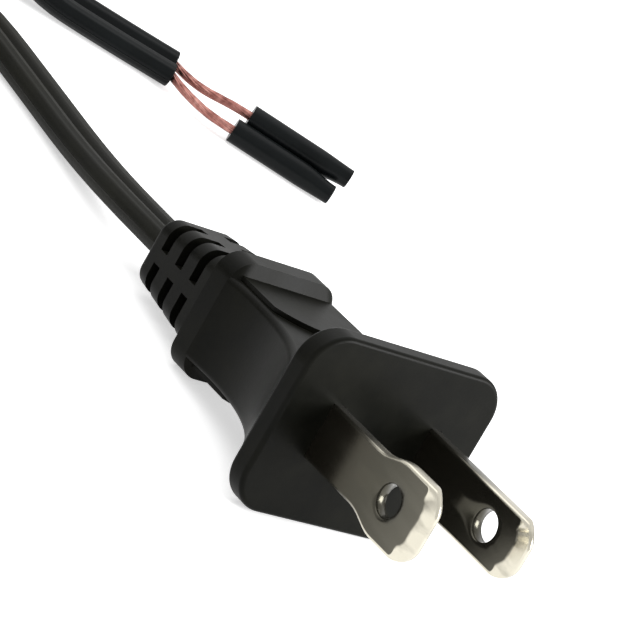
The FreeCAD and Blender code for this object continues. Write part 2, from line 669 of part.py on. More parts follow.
for kind, geometry, place, value, rule in (
    ("DistanceX", pad_back, 1, pad_half, "sizes.pad_width / 2"),
    ("DistanceY", pad_back, 1, pad_rear, "sizes.collar_front + sizes.collar_slope"),
    ("DistanceY", bow_arc, 3, pad_middle, "sizes.pad_front + sizes.pad_radius"),
):
    bind(pad_sketch, pad_sketch.addConstraint(Sketcher.Constraint(kind, -1, 1, geometry, place, value)), rule)
pad_sketch.addConstraint(Sketcher.Constraint("Vertical", pad_left))
bind(pad_sketch, pad_sketch.addConstraint(
    Sketcher.Constraint("Radius", bow_arc, size("pad_radius"))), "sizes.pad_radius")
pad(cover_body, "thumb_pads", pad_sketch, "sizes.body_height + 2 * sizes.pad_rise", midplane=True)

# The collar: a sloping front, a straight rim and a rounded back that falls to the strain relief.
collar_sections = []
for name, depth, width, height, corner in (
    ("collar_foot", "sizes.collar_front", cell("waist_width"), cell("body_height"), (1.2, "1.2")),
    ("collar_rim", "sizes.collar_front + sizes.collar_slope", cell("collar_width"), cell("collar_height"),
     cell("collar_corner")),
    ("collar_edge", "sizes.collar_back", cell("collar_width"), cell("collar_height"), cell("collar_corner")),
    ("collar_end", "sizes.collar_back + sizes.collar_fall", cell("relief_root_width"), cell("relief_root_height"),
     cell("relief_corner")),
    ("relief_end", "sizes.relief_back", cell("relief_end_width"), cell("relief_end_height"),
     cell("relief_corner")),
):
    section = new_sketch(cover_body, name, "XZ_Plane", "-(" + depth + ")")
    rounded_rectangle(section, width, height, corner)
    collar_sections.append(section)
loft(cover_body, "collar_and_relief", collar_sections)
fillet(cover_body, "relief_end_rounding", lambda edge: flat_at(edge, size("relief_back")), "sizes.relief_edge")

# Three rows of slots let the strain relief bend: each wraps a corner and stops at the webs.
floor_x, floor_z = size("slot_floor_width") / 2, size("slot_floor_height") / 2
slot_sketch = new_sketch(cover_body, "slot_sketch", "XZ_Plane", "-sizes.slot_first")
for sx, sx_rule in ((1, ""), (-1, "-")):
    for sz, sz_rule in ((1, ""), (-1, "-")):
        def at(x, x_rule, z, z_rule, sx=sx, sz=sz, sx_rule=sx_rule, sz_rule=sz_rule):
            return ((sx * x, sx_rule + "(" + x_rule + ")"), (sz * z, sz_rule + "(" + z_rule + ")"))
        web_x, web_z = size("top_web") / 2, size("side_web") / 2
        reach_x, reach_z = size("collar_width") / 2, size("collar_height") / 2
        ease = 1.2
        outline(slot_sketch, [
            at(web_x, "sizes.top_web / 2", floor_z, "sizes.slot_floor_height / 2"),
            at(floor_x - ease, "sizes.slot_floor_width / 2 - 1.2", floor_z, "sizes.slot_floor_height / 2"),
            at(floor_x, "sizes.slot_floor_width / 2", floor_z - ease, "sizes.slot_floor_height / 2 - 1.2"),
            at(floor_x, "sizes.slot_floor_width / 2", web_z, "sizes.side_web / 2"),
            at(reach_x, "sizes.collar_width / 2", web_z, "sizes.side_web / 2"),
            at(reach_x, "sizes.collar_width / 2", reach_z, "sizes.collar_height / 2"),
            at(web_x, "sizes.top_web / 2", reach_z, "sizes.collar_height / 2"),
        ])
first_slots = pocket(cover_body, "first_slots", slot_sketch, "sizes.slot_width", midplane=True)
rows = cover_body.newObject("PartDesign::LinearPattern", "slot_rows")
rows.Originals = [first_slots]
rows.Direction = (slot_sketch, ["N_Axis"])
rows.Reversed = True
rows.Occurrences = 3
rows.setExpression("Length", "2 * sizes.slot_pitch")
cover_body.Tip = rows
doc.recompute()
stand(cover_body)
doc.recompute()

inside = doc.addObject("Part::MultiFuse", "pieces_inside")
inside.Shapes = [blade_carrier, blades, root_space, cores["neutral_core"], cores["line_core"]]
plug_cover = doc.addObject("Part::Cut", "plug_cover")
plug_cover.Label = "plug_cover"
plug_cover.Base = cover_body
plug_cover.Tool = inside
doc.recompute()


# Free cord: one lead from the plug to the coil, and one tail from the coil to the stripped end

UP = Vector(0, 0, 1)
half_pair = (size("cord_width") - size("cord_thickness")) / 2
flat_high = size("cord_thickness") / 2 + size("cord_lift")
tail_low = flat_high + half_pair * math.sin(math.radians(size("tail_roll")))
tail_high, tail_hump = size("tail_high"), size("tail_hump")
seat_along, seat_across = size("seat_along"), size("seat_across")
coil_place = Placement(on_table(-size("coil_left"), size("coil_behind"), 0), Rotation())


def on_coil(x, y, z):
    """A point measured from below the coil's middle."""
    return coil_place.multVec(Vector(x, y, z))


lead_points = [
    on_plug(0, size("relief_back"), 0),
    on_plug(0, size("relief_back") + 11, 0),
    on_table(0.8, 58.5, 1.95),
    on_table(0.9, 71.0, flat_high),
    on_table(-0.1, 87.8, flat_high),
    on_table(-7.6, 101.9, flat_high),
    on_table(-21.5, 110.2, flat_high),
    on_coil(19.5, seat_across, flat_high),
    on_coil(seat_along, seat_across, flat_high),
]
# The tail leaves the top of the coil and passes over the lead on its way to the stripped end.
tail_points = [
    on_coil(seat_across, -seat_along, tail_high),
    on_coil(seat_across, 5.63, tail_high),
    on_table(-14.15, 92.8, tail_hump),
    on_table(-1.6, 100.0, tail_hump),
    on_table(12.9, 100.0, 4.6),
    on_table(20.5, 95.7, 2.2),
    on_table(30.6, 89.75, tail_low),
]


def flat_cord(name, points, roll=0):
    """Sweeps the flat section along the points and returns its across vector at the far end."""
    path = tangent_path(points, name=name)
    point, along, across, over = frame_at(path, UP)
    tilt = math.radians(roll)
    rolled = across * math.cos(tilt) + over * math.sin(tilt)
    section = stadium(point, rolled, along.cross(rolled), size("cord_width"), size("cord_thickness"))
    solid, end_across = sweep(path, section, rolled)
    swept = section.Area * path.Length
    print(name, "length", round(path.Length, 1), "volume against its sweep", round(solid.Volume / swept, 4))
    print(name, "roll at the far end", round(math.degrees(math.asin(end_across.z)), 2))
    new_feature(name, solid)
    return end_across


flat_cord("cord_lead", lead_points)
tail_end_across = flat_cord("cord_tail", tail_points, size("tail_roll"))

# The put-away coil is one ring with a seat at its foot for the lead and one in its top for the tail.
ring = new_body("coil_ring")
ring_sketch = new_sketch(ring, "coil_section", "XZ_Plane")
inner = (size("coil_middle") - size("coil_band")) / 2
outer = inner + size("coil_band")
clip, top = size("coil_clip"), size("coil_height")
INNER = "(sizes.coil_middle - sizes.coil_band) / 2"
OUTER = "(sizes.coil_middle + sizes.coil_band) / 2"
inner_clip = (inner + clip, INNER + " + sizes.coil_clip")
outer_clip = (outer - clip, OUTER + " - sizes.coil_clip")
top_clip = (top - clip, "sizes.coil_height - sizes.coil_clip")
outline(ring_sketch, [
    (inner_clip, (0, "0")),
    (outer_clip, (0, "0")),
    ((outer, OUTER), cell("coil_clip")),
    ((outer, OUTER), top_clip),
    (outer_clip, cell("coil_height")),
    (inner_clip, cell("coil_height")),
    ((inner, INNER), top_clip),
    ((inner, INNER), cell("coil_clip")),
])
turn = ring.newObject("PartDesign::Revolution", "coil_turns")
turn.Profile = ring_sketch
turn.ReferenceAxis = (ring_sketch, ["V_Axis"])
turn.Angle = 360
ring.Tip = turn


def seat_pocket(name, left, near, floor, height):
    """A slot in the ring with straight sides, from a cord's end face out past the rim."""
    sketch = new_sketch(ring, name + "_sketch", "XY_Plane", floor)
    past = (outer + size("cord_width"), OUTER + " + sizes.cord_width")
    outline(sketch, [(left, near), (past, near), (past, past), (left, past)])
    pocket(ring, name, sketch, height, backwards=True)


seat_side = (seat_across - size("cord_width") / 2 - size("seat_gap"),
             "sizes.seat_across - sizes.cord_width / 2 - sizes.seat_gap")
LEAD_TOP = "sizes.cord_lift + sizes.cord_thickness + sizes.seat_gap"
TAIL_FLOOR = (
    "(sizes.tail_high - sizes.cord_thickness / 2 - sizes.seat_gap"
    " - (sizes.cord_width - sizes.cord_thickness) / 2 * sin(sizes.tail_roll * 1 deg)) * 1 mm"
)
seat_pocket("lead_seat", cell("seat_along"), seat_side, "0 mm", LEAD_TOP)
seat_pocket("tail_seat", seat_side, (-seat_along, "-sizes.seat_along"), TAIL_FLOOR, "sizes.coil_height")
ring.Placement = coil_place

# The strap stands a little proud of the coil and is sunk into its turns.
coil_tie = new_body("coil_tie")
proud = size("tie_proud")
sunk = proud - size("tie_thickness")
SUNK = "2 * (sizes.tie_proud - sizes.tie_thickness)"
tie_outside = new_sketch(coil_tie, "tie_outside", "XZ_Plane")
rounded_rectangle(
    tie_outside,
    (size("coil_band") + 2 * proud, "sizes.coil_band + 2 * sizes.tie_proud"),
    (size("coil_height") + 2 * proud, "sizes.coil_height + 2 * sizes.tie_proud"),
    (size("cord_thickness") / 2, "sizes.cord_thickness / 2"),
)
pad(coil_tie, "tie_band", tie_outside, "sizes.tie_width", midplane=True)
tie_inside = new_sketch(coil_tie, "tie_inside", "XZ_Plane")
rounded_rectangle(
    tie_inside,
    (size("coil_band") + 2 * sunk, "sizes.coil_band + " + SUNK),
    (size("coil_height") + 2 * sunk, "sizes.coil_height + " + SUNK),
    cell("tie_corner"),
)
pocket(coil_tie, "tie_hollow", tie_inside, "2 * sizes.tie_width", midplane=True)
coil_tie.Placement = Placement(on_coil(-size("coil_middle") / 2, 0, size("coil_height") / 2 + proud), Rotation())
cord_coil = doc.addObject("Part::Cut", "cord_coil")
cord_coil.Label = "cord_coil"
cord_coil.Base = ring
cord_coil.Tool = coil_tie
doc.recompute()


# Stripped end: two copper strand bundles and the insulation slid part-way off them

sleeve_along = Vector(0.798, -0.602, 0).normalize()
sleeve_roll = math.radians(size("sleeve_roll"))
to_near = Vector(sleeve_along.y, -sleeve_along.x, 0)
sleeve_x = to_near * math.cos(sleeve_roll) - UP * math.sin(sleeve_roll)
sleeve_z = sleeve_x.cross(sleeve_along)
near_mouth = on_table(34.56, 79.24, flat_high)
sleeve_start = near_mouth - sleeve_x * half_pair
sleeve_turn = Rotation(sleeve_x, sleeve_along, sleeve_z, "XYZ")

end_sleeve = new_body("end_sleeve")
for name, side, start, start_rule in (
    ("near_lobe", 1, 0, "0"), ("far_lobe", -1, -size("sleeve_step"), "-sizes.sleeve_step"),
):
    lobe = new_sketch(end_sleeve, name + "_sketch", "XZ_Plane", start_rule + " * 1 mm")
    radius = size("cord_thickness") / 2
    middle = Vector(side * half_pair, 0, 0)
    low, high = (-math.pi / 2, math.pi / 2) if side > 0 else (math.pi / 2, 1.5 * math.pi)
    arc = lobe.addGeometry(Part.ArcOfCircle(Part.Circle(middle, Vector(0, 0, 1), radius), low, high), False)
    first, last = Vector(side * half_pair, -side * radius, 0), Vector(side * half_pair, side * radius, 0)
    groove = size("sleeve_groove")
    base_low, base_high = Vector(0, -side * (radius - groove), 0), Vector(0, side * (radius - groove), 0)
    top = lobe.addGeometry(Part.LineSegment(last, base_high), False)
    web = lobe.addGeometry(Part.LineSegment(base_high, base_low), False)
    foot = lobe.addGeometry(Part.LineSegment(base_low, first), False)
    for one, one_end, two, two_end in ((arc, 2, top, 1), (top, 2, web, 1), (web, 2, foot, 1), (foot, 2, arc, 1)):
        lobe.addConstraint(Sketcher.Constraint("Coincident", one, one_end, two, two_end))
    lobe.addConstraint(Sketcher.Constraint("PointOnObject", arc, 3, -1))
    lobe.addConstraint(Sketcher.Constraint("PointOnObject", web, 1, -2))
    lobe.addConstraint(Sketcher.Constraint("PointOnObject", web, 2, -2))
    bind(lobe, lobe.addConstraint(Sketcher.Constraint("DistanceX", -1, 1, arc, 3, side * half_pair)),
         str(side) + " * (sizes.cord_width - sizes.cord_thickness) / 2")
    bind(lobe, lobe.addConstraint(Sketcher.Constraint("Radius", arc, radius)), "sizes.cord_thickness / 2")
    lobe.addConstraint(Sketcher.Constraint("Vertical", arc, 1, arc, 3))
    lobe.addConstraint(Sketcher.Constraint("Vertical", arc, 2, arc, 3))
    for end, value, sign in ((1, base_high.y, side), (2, base_low.y, -side)):
        bind(lobe, lobe.addConstraint(Sketcher.Constraint("DistanceY", -1, 1, web, end, value)),
             str(sign) + " * (sizes.cord_thickness / 2 - sizes.sleeve_groove)")
    pad(end_sleeve, name, lobe, "sizes.sleeve_length", backwards=True)
bores = new_sketch(end_sleeve, "sleeve_bores_sketch", "XZ_Plane", "2 mm")
for side in (1, -1):
    circle(bores, (side * half_pair, str(side) + " * (sizes.cord_width - sizes.cord_thickness) / 2"), (0, "0"),
           cell("core_diameter"))
pocket(end_sleeve, "sleeve_bores", bores, "sizes.sleeve_length + 6")
slit = new_sketch(end_sleeve, "sleeve_slit_sketch", "XY_Plane")
slit_half, slit_end = size("sleeve_slit_width") / 2, size("sleeve_length") + 2
slit_start = size("sleeve_length") - size("sleeve_slit")
outline(slit, [
    ((-slit_half, "-sizes.sleeve_slit_width / 2"), (slit_start, "sizes.sleeve_length - sizes.sleeve_slit")),
    ((slit_half, "sizes.sleeve_slit_width / 2"), (slit_start, "sizes.sleeve_length - sizes.sleeve_slit")),
    ((slit_half * 3, "3 * sizes.sleeve_slit_width / 2"), (slit_end, "sizes.sleeve_length + 2")),
    ((-slit_half, "-sizes.sleeve_slit_width / 2"), (slit_end, "sizes.sleeve_length + 2")),
])
pocket(end_sleeve, "sleeve_slit", slit, "2 * sizes.cord_thickness", midplane=True)
end_sleeve.Placement = Placement(sleeve_start, sleeve_turn)
doc.recompute()

tail_end = (tail_points[-1] - tail_points[-2]).normalize()
strand_mids = {
    -1: [on_table(31.0, 84.6, 1.4), on_table(31.6, 82.2, 1.4)],
    1: [on_table(32.3, 86.4, 2.6), on_table(33.0, 83.0, 3.0)],
}
for name, side, begin in (("line_tail_strands", -1, 0), ("neutral_tail_strands", 1, size("sleeve_step"))):
    first = tail_points[-1] + tail_end_across * (side * half_pair)
    mouth = sleeve_start - sleeve_x * (side * half_pair) + sleeve_along * begin
    points = [first, first + tail_end * 1.4] + strand_mids[side]
    points += [mouth - sleeve_along * 1.2, mouth + sleeve_along * size("copper_in_sleeve")]
    path = tangent_path(points, name=name)
    new_feature(name, round_rod(path, size("core_diameter") - 2 * size("strip_fit")))
doc.recompute()


# Check every object, then write each piece to its own file

for thing in doc.Objects:
    assert "Invalid" not in thing.State and "Error" not in thing.State, thing.Name
PIECES = (
    "plug_cover", "blade_carrier", "neutral_blade", "line_blade", "neutral_core", "line_core", "cord_root",
    "cord_lead", "cord_coil", "coil_tie", "cord_tail", "neutral_tail_strands", "line_tail_strands", "end_sleeve",
)
os.makedirs("parts", exist_ok=True)
for label in PIECES:
    piece = doc.getObjectsByLabel(label)[0]
    shape = piece.Shape
    assert not shape.isNull() and shape.isValid(), label
    assert len(shape.Solids) == 1, label + " has %d solids" % len(shape.Solids)
    shape.exportStep("parts/" + label + ".step")
    box = shape.BoundBox
    print("%-22s volume %9.2f  x %7.2f %7.2f  y %7.2f %7.2f  z %6.2f %6.2f" % (
        label, shape.Volume, box.XMin, box.XMax, box.YMin, box.YMax, box.ZMin, box.ZMax))
print("lean", round(math.degrees(lean), 3), "face height", round(face_height, 3), "origin", round(origin_back, 3))
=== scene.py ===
# %% [markdown]
# # A type A plug on its flat cord
# The frame is the CAD model of the plug, its cord and the stripped end, in metres. We load it first,
# because every shape and every material below is placed on it.

# %% Load the frame
import math
import bmesh
import bpy
import numpy as np
from mathutils import Matrix, Vector


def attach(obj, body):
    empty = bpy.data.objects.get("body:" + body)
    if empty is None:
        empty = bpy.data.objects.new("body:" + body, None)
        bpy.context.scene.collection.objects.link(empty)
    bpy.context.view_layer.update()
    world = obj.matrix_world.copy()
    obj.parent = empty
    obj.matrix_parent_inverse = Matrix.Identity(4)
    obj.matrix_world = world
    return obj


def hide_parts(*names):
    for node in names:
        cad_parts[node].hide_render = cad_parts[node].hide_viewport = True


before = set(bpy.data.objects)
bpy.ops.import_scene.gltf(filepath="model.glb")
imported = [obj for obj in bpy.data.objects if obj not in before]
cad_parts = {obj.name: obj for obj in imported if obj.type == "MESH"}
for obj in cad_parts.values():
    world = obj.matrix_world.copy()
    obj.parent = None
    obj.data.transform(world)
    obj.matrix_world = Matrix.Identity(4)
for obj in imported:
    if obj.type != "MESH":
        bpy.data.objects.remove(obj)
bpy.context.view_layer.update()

MM = 0.001


# %% [markdown]
# The camera stands where the photograph was taken from: a long lens, about nineteen degrees above the
# table, in front of the plug and to its left. A camera could also be aimed at the plug, but its three
# directions say exactly how the frame is turned, including the slight roll of the photograph.

# %% Camera
camera_data = bpy.data.cameras.new("camera")
camera_data.sensor_width = 36
camera_data.lens = 175.08
camera_data.clip_end = 10
camera = bpy.data.objects.new("camera", camera_data)
bpy.context.collection.objects.link(camera)
bpy.context.scene.camera = camera
to_right = Vector((0.7077, -0.4445, 0.5492))
to_top = Vector((-0.2169, 0.6031, 0.7676))
ahead = Vector((0.6724, 0.6623, -0.3304))
camera_place = Vector((-200.1, -191.27, 111.3)) * MM
turned = Matrix((to_right, to_top, -ahead)).transposed().to_4x4()
camera.matrix_world = Matrix.Translation(camera_place) @ turned
print("camera lens in millimetres", camera_data.lens)


# %% [markdown]
# The plug was photographed on a white sweep. A world that is white for every ray would wash out the
# black vinyl, so the world is white only where the camera, a mirror or glass looks at it, and a softer
# grey where it lights the object. Two helpers do this: one maps a value from one span to another, the
# other tells which kind of ray arrives.

# %% World
def spread(tree, source, low, high, from_low=0.0, from_high=1.0):
    """Maps the span from_low..from_high evenly to low..high, and holds the ends outside it."""
    step = tree.nodes.new("ShaderNodeMapRange")
    step.inputs["From Min"].default_value = from_low
    step.inputs["From Max"].default_value = from_high
    step.inputs["To Min"].default_value = low
    step.inputs["To Max"].default_value = high
    tree.links.new(source, step.inputs["Value"])
    return step.outputs["Result"]


def looked_at(tree):
    """The highest of three marks: 1 for a ray from the camera, a mirror or glass, otherwise 0."""
    paths = tree.nodes.new("ShaderNodeLightPath")
    highest = paths.outputs["Is Camera Ray"]
    for kind in ("Is Glossy Ray", "Is Transmission Ray"):
        either = tree.nodes.new("ShaderNodeMath")
        either.operation = "MAXIMUM"
        tree.links.new(highest, either.inputs[0])
        tree.links.new(paths.outputs[kind], either.inputs[1])
        highest = either.outputs[0]
    return highest


world_light = 0.55
bpy.context.scene.view_settings.view_transform = "Standard"
world = bpy.data.worlds.new("studio")
bpy.context.scene.world = world
world.use_nodes = True
sky = world.node_tree
background = sky.nodes["Background"]
background.inputs["Color"].default_value = (1, 1, 1, 1)
sky.links.new(spread(sky, looked_at(sky), world_light, 1.0), background.inputs["Strength"])
print("the world lights the object at", world_light)


# %% [markdown]
# Paper, moulded vinyl, plated metal and bare copper all start from the same shader. A small helper makes
# the material and sets the numbers on the shader's own sockets, so that a reader sees one line per
# finish. The floor is its first use: pale paper that catches the plug's shadow, lifted towards white
# only where it is looked at.

# %% Paper floor
def finish_of(name, colour, roughness, metallic=0.0, specular=0.5):
    """A node material; returns it with its node tree and its main shader."""
    material = bpy.data.materials.new(name)
    material.use_nodes = True
    tree = material.node_tree
    shader = tree.nodes["Principled BSDF"]
    shader.inputs["Base Color"].default_value = (*colour, 1)
    shader.inputs["Roughness"].default_value = roughness
    shader.inputs["Metallic"].default_value = metallic
    shader.inputs["Specular IOR Level"].default_value = specular
    return material, tree, shader


floor_reach = 3.0
paper_lift = 0.56
square = [(-1, -1), (1, -1), (1, 1), (-1, 1)]
floor_mesh = bpy.data.meshes.new("floor")
floor_mesh.from_pydata([(x * floor_reach, y * floor_reach, 0) for x, y in square], [], [(0, 1, 2, 3)])
floor = bpy.data.objects.new("floor", floor_mesh)
bpy.context.collection.objects.link(floor)
paper, paper_tree, paper_shader = finish_of("paper_sweep", (0.93, 0.93, 0.93), 0.9, specular=0.1)
glow = paper_tree.nodes.new("ShaderNodeEmission")
paper_tree.links.new(spread(paper_tree, looked_at(paper_tree), 0.0, paper_lift), glow.inputs["Strength"])
both = paper_tree.nodes.new("ShaderNodeAddShader")
paper_tree.links.new(paper_shader.outputs[0], both.inputs[0])
paper_tree.links.new(glow.outputs[0], both.inputs[1])
paper_tree.links.new(both.outputs[0], paper_tree.nodes["Material Output"].inputs["Surface"])
floor_mesh.materials.append(paper)
print("floor reaches", floor_reach, "metres each way")


# %% [markdown]
# Two soft boxes light the plug. A large one hangs above and behind it and draws the soft edge lights
# along the cord and the cover; a lower one at the front right makes the collar's sloping front the
# brightest dark surface, as in the photograph. Both are large, so that the metal's edges don't glare.

# %% Lamps
def soft_box(name, place, aim, width, watts):
    """A square area lamp at place, in metres, facing aim."""
    lamp = bpy.data.lights.new(name, "AREA")
    lamp.shape = "SQUARE"
    lamp.size = width
    lamp.energy = watts
    holder = bpy.data.objects.new(name, lamp)
    bpy.context.collection.objects.link(holder)
    holder.location = place
    holder.rotation_euler = (Vector(aim) - Vector(place)).to_track_quat("-Z", "Y").to_euler()


lamp_aim = (0.0, 0.01, 0.01)
soft_box("lamp_above", (-0.1, 0.35, 0.75), lamp_aim, 1.0, 4.0)
soft_box("lamp_front_right", (0.5, -0.48, 0.3), lamp_aim, 0.36, 7.5)


# %% [markdown]
# A surface in this scene is a grid of points: one direction runs round a section, the other along a
# path. The helper below turns such a grid into a smooth mesh. Each section is closed into a loop. The
# path's ends get flat caps, or meet each other where the path is a ring.

# %% A grid of points becomes a mesh
def grid_mesh(name, points, ring=False, caps=True):
    """points[i, j] is the j-th point round the i-th section; neighbours in i and j share a face, and in
    a ring the last section also joins the first. Where there are caps, a section at a fiftieth of the
    first and the last step keeps the shading off them."""
    if caps:
        first, last = points[:1], points[-1:]
        near_first = first + (points[1:2] - first) / 50
        near_last = last + (points[-2:-1] - last) / 50
        points = np.concatenate((first, near_first, points[1:-1], near_last, last))
    rows, columns = points.shape[:2]
    i = np.arange(rows if ring else rows - 1)[:, None]
    j = np.arange(columns)[None, :]
    following, after = (i + 1) % rows, (j + 1) % columns
    quads = np.stack(np.broadcast_arrays(
        i * columns + j, i * columns + after, following * columns + after, following * columns + j), axis=-1)
    faces = quads.reshape(-1, 4).tolist()
    if caps:
        faces.append(list(range(columns))[::-1])
        faces.append(list(range((rows - 1) * columns, rows * columns)))
    mesh = bpy.data.meshes.new(name)
    mesh.from_pydata(points.reshape(-1, 3).tolist(), [], faces)
    mesh.polygons.foreach_set("use_smooth", np.ones(len(mesh.polygons), dtype=bool))
    if caps:
        mesh.polygons[-1].use_smooth = False
        mesh.polygons[-2].use_smooth = False
    mesh.update()
    piece = bpy.data.objects.new(name, mesh)
    bpy.context.collection.objects.link(piece)
    return piece


# %% [markdown]
# A cord or a wire follows a smooth line. A row of control points and a NURBS curve give it, because the
# curve never kinks between them; the curve's own points are then read back and the curve is dropped.

# %% Smooth lines
def along_spline(control, resolution=6):
    """Points along a quadratic NURBS whose control points are given in millimetres."""
    curve = bpy.data.curves.new("route", "CURVE")
    curve.dimensions = "3D"
    curve.resolution_u = resolution
    spline = curve.splines.new("NURBS")
    spline.points.add(len(control) - 1)
    for point, (x, y, z) in zip(spline.points, control):
        point.co = (x * MM, y * MM, z * MM, 1)
    spline.order_u = 3
    spline.use_endpoint_u = True
    holder = bpy.data.objects.new("route", curve)
    bpy.context.collection.objects.link(holder)
    bpy.context.view_layer.update()
    mesh = bpy.data.meshes.new_from_object(holder)
    line = np.empty(len(mesh.vertices) * 3)
    mesh.vertices.foreach_get("co", line)
    bpy.data.objects.remove(holder)
    bpy.data.meshes.remove(mesh)
    return line.reshape(-1, 3)


def distance_along(line):
    """At each point of a line, the sum of the steps up to it."""
    return np.concatenate(([0], np.cumsum(np.linalg.norm(np.diff(line, axis=0), axis=1))))


def unit(vectors):
    """Each vector divided by its length."""
    return vectors / np.linalg.norm(vectors, axis=-1, keepdims=True)


def directions(line):
    """Unit tangents of a line of points: each is the difference of its two neighbours."""
    return unit(np.gradient(line, axis=0))


# %% [markdown]
# The unseen length of the cord is wound into a neat coil on the table. The cord stands on edge in it:
# four turns side by side, each one nearer the middle, then nearly four on top, working back outwards.
# Within each turn a short smooth sidestep moves the cord to the next track, and one climb lifts it to
# the second layer.

# %% Coil
coil_centre = (-56.0, 65.304)
cord_step = 3.1
outer_radius = 36.7
layer_low, layer_step = 3.08, 6.12
turns_a_layer = 4
last_track = turns_a_layer - 1
first_bearing = np.radians(80)
wound_degrees, degree_step = 2790, 15.0
sidestep_from, sidestep_over = 283, 39
climb_from, climb_over = 1404, 36


def eased(value):
    """Smooth step from 0 to 1: the value squared, times three minus twice the value."""
    value = np.clip(value, 0, 1)
    return value * value * (3 - 2 * value)


turned_by = np.radians(np.arange(0.0, wound_degrees + 1, degree_step))
turn_number = np.floor(turned_by / (2 * np.pi))
part_of_turn = np.degrees(turned_by) - 360 * turn_number
sidestep = eased((part_of_turn - sidestep_from) / sidestep_over)
inwards = np.minimum(turn_number + sidestep, last_track)
outwards = last_track - np.minimum(turn_number - turns_a_layer + sidestep, last_track)
track = np.where(turned_by < turns_a_layer * 2 * np.pi, inwards, outwards)
climb = eased((np.degrees(turned_by) - climb_from) / climb_over)
radius = outer_radius - cord_step * track
bearing = first_bearing + turned_by
coil = np.stack((
    coil_centre[0] + radius * np.cos(bearing),
    coil_centre[1] + radius * np.sin(bearing),
    layer_low + layer_step * climb,
), axis=1)
print("coil turns", round(wound_degrees / 360, 2), "control points", len(coil))


# %% [markdown]
# The cord is one flat twin lead, 1.73 m long as wound here. It leaves the strain relief, sinks to the
# table, runs out of the picture to the coil, and comes back into the picture with its wires stripped.
# Lead, coil and tail could be three lines, but one smooth NURBS line has no joint to hide.

# %% Cord route
lead = [
    (0.0, 26.61, 4.852), (0.0, 37.511, 3.383), (0.8, 49.234, 1.95), (0.9, 61.734, 1.56),
    (-0.1, 78.534, 1.56), (-7.6, 92.634, 1.65), (-21.0, 101.3, 2.1), (-35.5, 102.4, 2.9),
]
tail = [
    (-19.0, 74.0, 9.8), (-15.0, 84.5, 10.95), (-7.0, 91.3, 10.95), (5.0, 94.2, 7.2), (14.0, 90.15, 2.3),
    (22.3, 85.32, 1.94), (30.6, 80.484, 1.94),
]
cord_line = along_spline(lead + coil.tolist() + tail)
travelled = distance_along(cord_line)
print("cord length in metres", round(float(travelled[-1]), 3), "points", len(cord_line))


# %% [markdown]
# The cord's section is two round insulated wires joined by a thin web, with fine lines drawn along them
# by the die that the vinyl was pushed through. It could be two bevelled curves, but they would not
# share a skin, so the section is worked out once and carried along the line.

# %% Cord section
def twin_section(count=72, wire=1.5, offset=1.5, groove=0.55, ridge=0.13):
    """Two circles side by side: at each place across, the half height is the higher circle's height,
    softened where they meet down to the groove. Each drawn line adds the ridge's height times a bell
    curve of the distance from it. Returns across and over, in millimetres."""
    groove_reach, ridge_reach = 0.5, 0.17
    lines_at = np.array([-2.3, -0.85, 0.85, 1.6, 2.35])
    angle = np.linspace(0, 2 * np.pi, count, endpoint=False) + np.pi / count
    across = (offset + wire) * np.cos(angle)
    from_middle = np.clip(np.abs(across) - offset, -wire, wire)
    round_height = np.sqrt(np.clip(wire ** 2 - from_middle ** 2, 0, None))
    waist = wire - groove * np.exp(-(across / groove_reach) ** 2)
    drawn = ridge * np.exp(-((across[:, None] - lines_at[None, :]) / ridge_reach) ** 2).sum(axis=1)
    return across, np.sign(np.sin(angle)) * (np.minimum(round_height, waist) - ridge + drawn)


across, over = twin_section()
print("cord section", round(2 * across.max(), 2), "by", round(2 * over.max(), 2), "millimetres")


# %% [markdown]
# A level cord lies flat; in the coil it stands on its edge. So the section turns about the line by an
# angle that eases from flat to edge where the lead meets the coil, and back on the tail, which stays
# rolled by twelve degrees.

# %% Cord surface
def carried(line, turn, across, over):
    """Carries a section along a line: level side vector times across plus its upright times over,
    both turned about the line by the angle given at each point."""
    tangent = directions(line)
    level = unit(np.cross(np.array([0.0, 0.0, 1.0]), tangent))
    upright = np.cross(tangent, level)
    side = level * np.cos(turn)[:, None] + upright * np.sin(turn)[:, None]
    top = np.cross(tangent, side)
    section = side[:, None, :] * across[None, :, None] + top[:, None, :] * over[None, :, None]
    return line[:, None, :] + section * MM


def reached(place):
    """Distance travelled at the cord's point nearest to a place in millimetres."""
    return travelled[int(np.argmin(np.linalg.norm(cord_line - np.array(place) * MM, axis=1)))]


lead_flat, lead_edge = reached((-9.0, 93.5, 1.7)), reached((-49.6, 101.4, 3.05))
tail_edge, tail_flat = reached((-19.3, 67.0, 9.3)), reached((-3.0, 90.0, 10.8))
tail_roll = 12.0
on_edge = eased((travelled - lead_flat) / (lead_edge - lead_flat))
laid_down = eased((travelled - tail_edge) / (tail_flat - tail_edge))
turn = np.radians(90 * on_edge - (90 - tail_roll) * laid_down)
cord = grid_mesh("flat_cord", carried(cord_line, turn, across, over))
print("cord triangles", 2 * len(cord.data.polygons))
